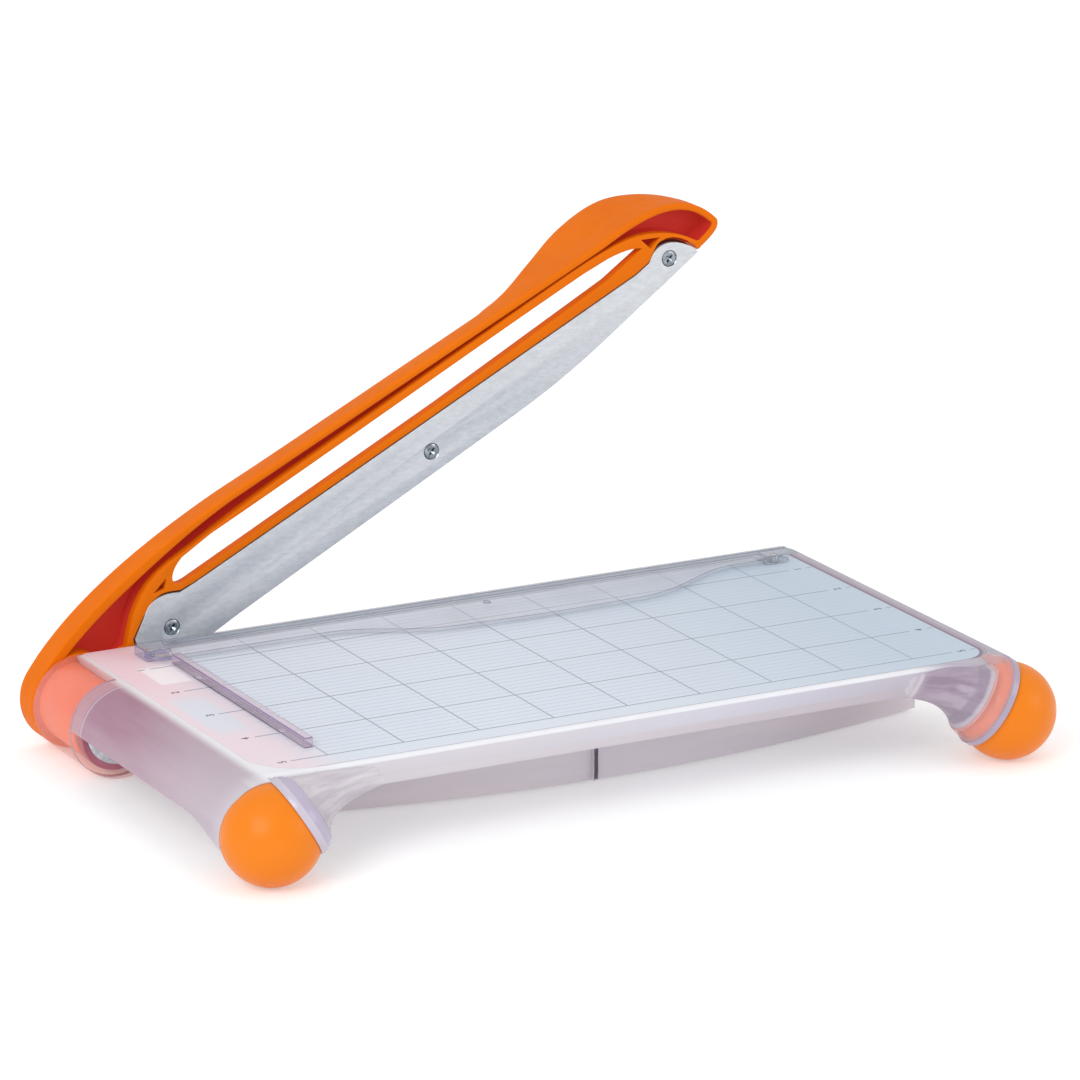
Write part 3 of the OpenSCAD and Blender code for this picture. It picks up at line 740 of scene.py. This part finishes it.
backing_outline = ([(20.5, -8.8), (60, -3), (175, -2.4)]
                   + bez((175, -2.4), (200, -1.6), (215, 2.2), (236, 4.6), 8)[1:]
                   + bez((252.4, 4.6), (251.2, 9.4), (247.2, 14), (242.4, 14), 6)
                   + bez((242.4, 14), (240.6, 13.6), (239, 12.4), (236.4, 10.9), 4)[1:]
                   + [(230, 10.2), (140, 10.5), (52, 10.9)]
                   + bez((46.6, 11.3), (44, 12.6), (42, 14.2), (39, 14), 4)
                   + bez((39, 14), (35, 13.7), (31, 10.6), (25.2, 6.6), 6)[1:])
backing = plate("backing", backing_outline, [], BACKING_FRONT, 3.84, 0.2)

BUSH_R = 6.6
proud = ARM_REAR + 0.06
hub = on_arm("hub", [(ARM_FRONT + OFFSET, BUSH_R), (ARM_FRONT + OFFSET, 14.6), (0.55, 15.15),
                     (1.0, HUB_R - 0.05), (proud - 0.9, HUB_R - 0.05), (proud - 0.3, 15.1), (proud, 14.5),
                     (proud, 9.3), (ARM_REAR - 0.25, 9.05), (ARM_REAR - 4.8, 9.05), (ARM_REAR - 4.8, BUSH_R)],
             steps=96)
plug = on_arm("plug", [(-26.5, BUSH_R), (-26.5, 12.2), (-25.9, 12.8), (0.5, 12.85), (0.5, BUSH_R)], steps=72)
bosses = [on_arm("boss", [(3.6, 2.65), (3.6, 4.7), (6.8, 4.55), (7.1, 4.3), (7.1, 2.9), (6.9, 2.65)], at, 40)
          for at in SCREWS]
pockets = join("arm_pockets", [deep_frame, web])
shade(pockets, 34)
finish_piece(pockets, "arm_body", [], pocket_shade_and_glow)
# front faces of the recessed plates keep the painted pocket shade; faces turned to the rear take the plain
# orange
pockets.data.materials.append(orange_arm)
for face in pockets.data.polygons:
    if face.normal.y > 0.6:
        face.material_index = 1
shade(plug, 34)
finish_piece(plug, "arm_body", [], orange_plug)
arm = join("arm_moulding", [band, front_frame, backing, hub] + bosses)
shade(arm, 34)
finish_piece(arm, "arm_body", ["arm"], orange_arm)
shade(grip, 40)
finish_piece(grip, "arm_body", ["grip"], orange_arm)
back_to_arm = ARM.inverted()
turned = back_to_arm.to_3x3()
lines = [(Vector(p), Vector(n)) for p, n in zip(band_path, normals)]
# painted shade: the band's inner walls take the darker, glowing pocket look, and the backing's face behind
# the blade takes a painted near-black shadow for the gap round the blade
for piece in (arm, grip):
    piece.data.materials.append(pocket_shade_and_glow)
    piece.data.materials.append(blade_gap_shadow)
    pocket_shade_look, gap_shadow_look = 1, 2
    for face in piece.data.polygons:
        c = back_to_arm @ face.center / MM
        flat = Vector((c.x, c.z))
        if c.x < 10 or c.y < 1.0 or flat.length < HUB_R + 0.5:
            continue
        if abs(c.y - BACKING_FRONT) < 0.03 and face.normal.y < -0.9:
            face.material_index = gap_shadow_look
            continue
        point, inward = min(lines, key=lambda pn: (pn[0] - flat).length_squared)
        facing = turned @ face.normal
        depth = (flat - point).dot(inward)
        if facing.x * inward.x + facing.z * inward.y > 0.4 and RIB * 0.55 < depth < RIB + 2.2:
            face.material_index = pocket_shade_look

cap = on_arm("hub_cap_disc", [(ARM_REAR - 1.4, 8.9), (ARM_REAR - 0.5, 9.0), (ARM_REAR - 0.15, 8.7),
                              (ARM_REAR - 0.1, 7.2), (ARM_REAR - 0.35, 6.9), (ARM_REAR - 0.3, 3.0)])
finish_piece(cap, "arm_body", ["hub_cap"], orange_arm)
shade(cap)


# ------------------------------------------------------------------ blade, its screws and the hinge hardware

def circle(x, y, r, n=40):
    return [(x + r * math.cos(2 * math.pi * i / n), y + r * math.sin(2 * math.pi * i / n)) for i in range(n)]


blade = plate("moving_blade", BLADE, [circle(a, n, 2.75) for a, n in SCREWS], 0.15, 1.65, 0.14)
shade(blade, 25)
finish_piece(blade, "arm_body", ["blade"], blade_steel)


def cross_recess(centre, front):
    """Two tapered bars that cut a cross recess into a screw's head."""
    out = []
    for turn in (25, 115):
        c, s = math.cos(math.radians(turn)), math.sin(math.radians(turn))
        rings = []
        for depth, half, wide in ((front - 0.6, 1.55, 0.42), (front + 0.25, 1.45, 0.38),
                                  (front + 0.95, 0.6, 0.2)):
            rings.append([(centre[0] + u * c - v * s, depth, centre[1] + u * s + v * c)
                          for u, v in ((-half, -wide), (half, -wide), (half, wide), (-half, wide))])
        out.append(loft("cross", rings, ARM))
    return out


HEAD_FRONT = 0.12
screws = []
for at in SCREWS:
    head = on_arm("head", [(HEAD_FRONT, 0.001), (0.13, 1.6), (0.2, 2.2), (0.34, 2.45), (0.5, 2.42),
                           (1.45, 1.5), (5.7, 1.5), (5.8, 0.001)], at, 48)
    screws.append(combine(head, cross_recess(at, HEAD_FRONT)))
    screws.append(on_arm("seat", [(0.2, 2.74), (0.2, 2.8), (1.6, 1.75), (1.6, 1.6), (1.5, 1.6)], at, 40))
screws = join("blade_screw_set", screws)
shade(screws, 30)
finish_piece(screws, "arm_body", ["blade_screws"], screw_zinc)

for node, body, slot, material, width in (
        ("pivot_bolt", "base", "zinc_steel", zinc, 0.3),
        ("pivot_nut", "base", "zinc_steel", zinc, 0.35),
        ("spring_washer", "base", "zinc_steel", zinc, 0.1),
        ("end_washer", "base", "zinc_steel", zinc, 0.15),
        ("thrust_washer", "base", "nylon", nylon, 0.15),
        ("frame_screws", "base", "zinc_steel", zinc, 0.1),
        ("rubber_pads", "base", "pad_rubber", rubber, 0.25),
        ("bed_screws", "base", "zinc_steel", zinc, 0.1),
        ("guard_screws", "base", "zinc_steel", zinc, 0.1),
        ("bed_blade", "base", "bed_steel", bed_steel, 0.12),
        ("blade_inserts", "arm_body", "brass", brass, 0.1),
        ("pivot_bush", "arm_body", "nylon", nylon, 0.15)):
    finish_piece(softened(node, width), body, [node], material)


# ------------------------------------------------------------------ base shell

def outline_at(inset):
    """The board's outline, drawn in from its edge."""
    left, right = PIVOT.x, BOARD_RIGHT - inset
    front, rear = BOARD_FRONT + inset, -0.3 - inset
    r2 = 4 - inset * 0.6
    lug = front - 5.2
    return ([(left, front), (left + 4, front), (200, front)]
            + bez((206, front), (213, front), (214, lug), (220, lug), 8)
            + rounded((right - 3.5, lug), (right, lug), (right, lug + 3.5), 6) + [(right, front + 8)]
            + rounded((right, rear - r2), (right, rear), (right - r2, rear), 6)
            + [(left + 4, rear), (left, rear)])


# (inset, height) of the deck's edge: top, step, skirt and its inner face
EDGE = [(2.6, -0.01), (1.1, 0.0), (0.45, -0.22), (0.1, -0.7), (0.0, -1.4), (0.0, -4.9), (0.28, -5.5),
        (0.36, -6.2), (0.34, -8.0), (0.55, -8.5), (1.0, -8.7), (1.9, -8.7), (2.35, -8.4), (2.5, -7.9),
        (2.5, -2.5)]


def deck_ring(step):
    """One ring of the deck's edge; on the round left side the skirt dies away."""
    inset, z = EDGE[step]
    shallow = -0.01 - 2.49 * step / (len(EDGE) - 1)
    return [(x, y, shallow if x < PIVOT.x + 0.1 else z) for x, y in outline_at(inset)]


deck = loft("deck", [deck_ring(i) for i in range(len(EDGE))])


def side_low(y):
    """Lower edge of the round side at a place along the board."""
    low = -TUBE_R + 1.5
    if y > -114:
        return low
    return low - 7.6 * smooth((-114 - y) / 34) ** 1.35


def side_ring(y):
    """Section of the round side; near the ball its wall thickens into a solid cup."""
    low = side_low(y)
    inner_r = lerp(TUBE_R - WALL, 5.0, smooth((-124 - y) / 5))

    def arc(r, start, end, n):
        return [(PIVOT.x - r * math.sin(t), y, PIVOT.z + r * math.cos(t))
                for t in (lerp(start, end, i / n) for i in range(n + 1))]

    def end_angle(r):
        return math.acos(max(-0.999, min(1, (low - PIVOT.z) / r)))

    middle = (TUBE_R + inner_r) / 2
    tip = [(PIVOT.x - middle * math.sin(end_angle(middle)), y, low - 0.45)]
    return arc(TUBE_R, -0.03, end_angle(TUBE_R), 28) + tip + arc(inner_r, end_angle(inner_r), -0.03, 28)


side = loft("side", [side_ring(y) for y in
                     [-31, -60, -90, -114] + [-114 - 1.6 * i for i in range(1, 17)] + [-141.2]])
barrel = round_hinge("barrel", [(-34, 13.3), (-34, 14.9), (-33.6, 15.45), (-33, 15.6), (-1.0, 15.6),
                                (-0.5, 15.4), (-0.3, 15.0), (-0.3, 13.3)])
end_wall = round_hinge("end_wall", [(-28.5, 13.25), (-28.5, 4.1), (-31, 4.1), (-31, 13.25)])

CUP_AXIS = {-1: Vector((-0.856, 0.082, -0.511)).normalized(), 1: Vector((0.839, -0.186, -0.511)).normalized()}
CUP_LIP = {-1: 8.6, 1: 6.0}
CUP_DEEP = {-1: 5.6, 1: 7.6}


def ball_radius(d):
    """Radius of the ball's section at a distance from its middle."""
    return math.sqrt(max(0.0, BALL_R ** 2 - d * d))


def horn(side_):
    """Trumpet from the front edge down to a ball's cup."""
    ball, axis = BALLS[side_], CUP_AXIS[side_]
    across = Vector((0, 1, 0))
    across = (across - axis * across.dot(axis)).normalized()
    steps, count = 26, 44
    reach = 50.0 if side_ < 0 else 41.0
    back = CUP_LIP[side_] + CUP_DEEP[side_] - 0.6
    root = Vector((ball.x - side_ * reach, -130.6, -4.9))
    end = ball - axis * back
    knee = Vector((ball.x - side_ * reach * 0.42, -134.2, -6.3))
    rings = []
    for i in range(steps + 1):
        t = 1 - (1 - i / steps) ** 1.7
        p = root * (1 - t) ** 2 + knee * 2 * t * (1 - t) + end * t * t
        face = (Vector((side_, 0, 0)) * (1 - smooth(t)) + axis * smooth(t)).normalized()
        lateral = (across * smooth(t) + Vector((0, 1, 0)) * (1 - smooth(t)))
        lateral = (lateral - face * lateral.dot(face)).normalized()
        rise = face.cross(lateral)
        if rise.z < 0:
            rise = -rise
        d = (ball - p).dot(axis)
        off = ((ball - p) - axis * d).length
        need = ball_radius(d) + off * 0.5 + 0.35 if d < BALL_R - 0.5 else 0.0
        mouth = ball_radius(CUP_LIP[side_] + 2.5) + 0.15
        flare = t ** 2.1
        half_w = max(lerp(4.2, mouth, flare ** 0.8), need)
        half_h = max(lerp(3.75, mouth, flare), need)
        power = lerp(4.5, 2.0, smooth(t * 1.4))
        ring = []
        for k in range(count):
            a = 2 * math.pi * k / count
            c, s = math.cos(a), math.sin(a)
            u = math.copysign(abs(c) ** (2 / power), c) * half_w
            v = math.copysign(abs(s) ** (2 / power), s) * half_h
            q = p + lateral * u + rise * v
            ring.append((q.x, q.y, min(q.z, -0.5 - 0.001 * k)))
        rings.append(ring)
    return loft("horn", rings)


rear_rib = block("rear_rib", (BED_LEFT, -6.5, -24), (BED_RIGHT, -1.5, -1.5))
posts = [lathe("post", [(-8.5, 1.5), (-8.5, 4.7), (-8.2, 5.0), (-1, 5.0), (-1, 1.5)],
               (x, y, 0), (0, 0, 1), BOARD, 32)
         for x in (3, 220) for y in (-80, -24)]


def label_outline():
    """Recess for the printed label."""
    left, right, front, rear = PIVOT.x + 2, 229, -135.5, -0.8
    return (rounded((left, front + 17), (left, front), (left + 17, front), 12)
            + rounded((right - 9, front), (right, front), (right, front + 9), 10)
            + [(right, BED_FRONT), (BED_LEFT, BED_FRONT), (BED_LEFT, rear), (left, rear)])


deck = combine(deck, [
    prism("label_cut", label_outline(), -0.25, 1),
    block("bed_cut", (BED_LEFT, BED_FRONT, -1.2), (BED_RIGHT, 1, 1)),
    block("bed_drop", (BED_LEFT, -1.5, -9.7), (BED_RIGHT, 1, 1)),
    round_hinge("bore", [(-28.4, 0.01), (-28.4, BORE_R), (1, BORE_R), (1, 0.01)])])


def ball_hollow(side_):
    """Ball with its clearance, to hollow out a cup."""
    profile = [(-(BALL_R + 0.05) * math.cos(t), max(0.01, (BALL_R + 0.05) * math.sin(t)))
               for t in (math.pi * i / 48 for i in range(49))]
    return lathe("ball_hollow", profile, BALLS[side_], CUP_AXIS[side_], BOARD, 96)


side = combine(side, [ball_hollow(-1)])
shell = join("board_shell", [deck, side, rear_rib] + posts)
shade(shell, 28)
finish_piece(shell, "base", ["base_shell"], shell_plastic)
for side_, name in ((-1, "left_horn"), (1, "right_horn")):
    piece = horn(side_)
    piece.name = name
    shade(piece, 28)
    finish_piece(piece, "base", [], horn_plastic)
    edge, deep = CUP_LIP[side_], CUP_LIP[side_] + CUP_DEEP[side_]
    edge_r = ball_radius(edge)
    seat = [(-d, ball_radius(d) + 0.08) for d in (lerp(deep - 0.5, edge + 2.0, k / 6) for k in range(7))]
    wide, narrow = edge_r + 0.4, ball_radius(edge + 2.5) + 0.12
    cup = lathe(name.replace("horn", "cup"),
                seat + [(-edge - 2.0, wide), (-lerp(edge + 2.0, deep, 0.5), lerp(wide, narrow, 0.4)),
                        (-deep + 0.3, narrow), (-deep, narrow - 0.6)],
                BALLS[side_], CUP_AXIS[side_], BOARD, 96)
    shade(cup, 40)
    finish_piece(cup, "base", [], cup_plastic if side_ > 0 else left_cup_plastic)
    lip_front, lip_back = (0.85, 0.8) if side_ > 0 else (0.5, 0.45)
    lip = lathe(name.replace("horn", "cup_lip"),
                [(-edge, edge_r + 0.06), (-edge, edge_r + 0.35), (-edge - 0.3, edge_r + lip_front),
                 (-edge - 2.1, edge_r + lip_back), (-edge - 2.3, edge_r + 0.4),
                 (-edge - 2.2, ball_radius(edge + 2.2) + 0.06)], BALLS[side_], CUP_AXIS[side_], BOARD, 96)
    shade(lip, 40)
    finish_piece(lip, "base", [], lip_plastic if side_ > 0 else left_lip_plastic)
barrel.name = "hinge_barrel"
ring = round_hinge("hinge_ring", [(-29.2, 15.3), (-29.3, 15.62), (-29.5, 15.69), (-30.5, 15.69),
                                  (-30.8, 15.4)])
shade(ring, 40)
finish_piece(ring, "base", [], ring_plastic)
shade(barrel, 35)
finish_piece(barrel, "base", [], barrel_plastic)
shade(end_wall, 35)
end_wall.name = "hinge_end_wall"
finish_piece(end_wall, "base", [], end_wall_plastic)

rib_edge = block("rib_edge", (100.9, -107.0, -29.6), (102.3, -105.3, -9.0))
finish_piece(rib_edge, "base", [], rib_plastic)
finish_piece(softened("under_frame", 0.3), "base", ["under_frame"], frame_plastic)


# ------------------------------------------------------------------ guard, fence, label and balls

def clear_part(node, looks, width, violet_left_of=None):
    """Clear moulding; looks are for its level faces, sides, rounded edges and left end's sides; all but the
    first paint the shade seen along its edges.
    """
    obj = softened(node, width)
    finish_piece(obj, "base", [node], looks[0])
    for look in looks[1:]:
        obj.data.materials.append(look)
    for face in obj.data.polygons:
        level = abs(face.normal.z)
        if level < 0.2:
            end = violet_left_of is not None and (face.center.x - ORIGIN.x) / MM < violet_left_of
            face.material_index = 3 if end else 1
        elif level < 0.97:
            face.material_index = 2


clear_part("finger_guard", (clear_guard, guard_side_shade, guard_edge_shade, clear_end_shade), 0.3, 4.0)
clear_part("paper_fence", (clear_fence, fence_side_shade, fence_edge_shade), 0.5)

frame["nodes"]["grid_label"].data.materials.clear()
frame["nodes"]["grid_label"].data.materials.append(label)


def number(digit, x, y):
    """Ruler digit read from the handle end, as a thin printed mark on the label."""
    curve = bpy.data.curves.new("number_" + digit, "FONT")
    curve.body = digit
    curve.size = 3.6 * MM
    curve.extrude = 0.01 * MM
    curve.offset = 0.07 * MM
    curve.align_x, curve.align_y = "CENTER", "CENTER"
    temp = bpy.data.objects.new("number_temp", curve)
    scene.collection.objects.link(temp)
    mesh = bpy.data.meshes.new_from_object(temp.evaluated_get(bpy.context.evaluated_depsgraph_get()))
    bpy.data.objects.remove(temp)
    mesh.transform(BOARD @ Matrix.Translation((x * MM, y * MM, 0.012 * MM))
                   @ Matrix.Rotation(math.pi / 2, 4, "Z"))
    obj = bpy.data.objects.new("number", mesh)
    scene.collection.objects.link(obj)
    return obj


LEFT_RULER, RIGHT_RULER = -14.8, 221.0
numbers = join("ruler_numbers", [number(str(k), x, -INCH * k) for k in range(1, 6)
                                 for x in (LEFT_RULER, RIGHT_RULER)])
finish_piece(numbers, "base", [], ink)

for side_, name, node in ((-1, "left_ball", "left_ball_foot"), (1, "right_ball", "right_ball_foot")):
    stem = [(-BALL_R - 2, 0.02), (-BALL_R - 2, 2.0), (-BALL_R - 1.7, 2.3), (-BALL_R + 0.5, 2.9)]
    sphere = [(-BALL_R * math.cos(t), BALL_R * math.sin(t)) for t in (math.pi * i / 96 for i in range(7, 96))]
    profile = stem + sphere + [(BALL_R, 0.02)]
    ball = lathe(name, profile, BALLS[side_], CUP_AXIS[side_], BOARD, 128)
    shade(ball, 50)
    finish_piece(ball, "base", [node], orange_ball)


# ------------------------------------------------------------------ camera, light and floor

CAMERA_AT = Vector((-0.82375, -1.564, 0.5854))
TOWARDS = Vector((0.4487, 0.8484, -0.2809))
LENS_MM = 196.9
camera = bpy.data.objects.new("camera", bpy.data.cameras.new("camera"))
scene.collection.objects.link(camera)
camera.location = CAMERA_AT
camera.rotation_mode = "QUATERNION"
camera.rotation_quaternion = TOWARDS.to_track_quat("-Z", "Y")
camera.data.sensor_width = 36.0
camera.data.lens = LENS_MM
camera.data.clip_start, camera.data.clip_end = 0.05, 50.0
scene.camera = camera

FLOOR_HALF = 6000
floor = block("floor", (-FLOOR_HALF, -FLOOR_HALF, TABLE_Z - 20), (FLOOR_HALF, FLOOR_HALF, TABLE_Z))
floor_look = Nodes("floor_paper").set(Base_Color=(0.74, 0.74, 0.74), Roughness=0.9,
                                      Emission_Color=(1.0, 1.0, 1.0), Emission_Strength=0.33)
floor.data.materials.append(floor_look.material)

world = bpy.data.worlds.new("studio")
world.use_nodes = True
world.node_tree.nodes["Background"].inputs["Color"].default_value = (1.0, 1.0, 1.0, 1.0)
world.node_tree.nodes["Background"].inputs["Strength"].default_value = 0.88
scene.world = world
scene.view_settings.view_transform = "Standard"


def softbox(name, place, aim, size, power):
    """Soft rectangular light; places and size in metres, power in watts."""
    light = bpy.data.lights.new(name, "AREA")
    light.shape = "RECTANGLE"
    light.size, light.size_y = size
    light.energy = power
    obj = bpy.data.objects.new(name, light)
    scene.collection.objects.link(obj)
    obj.location = place
    obj.rotation_mode = "QUATERNION"
    obj.rotation_quaternion = (Vector(aim) - Vector(place)).to_track_quat("-Z", "Y")
    return obj


softbox("overhead", (0.1, 0.1, 1.5), (0, 0, 0), (1.6, 1.6), 0.8)
softbox("key_left", (-1.3, -0.9, 1.1), (0, 0, 0.05), (0.9, 0.9), 13)
softbox("fill_right", (1.3, -1.1, 0.7), (0, 0, 0.05), (0.9, 0.7), 4)
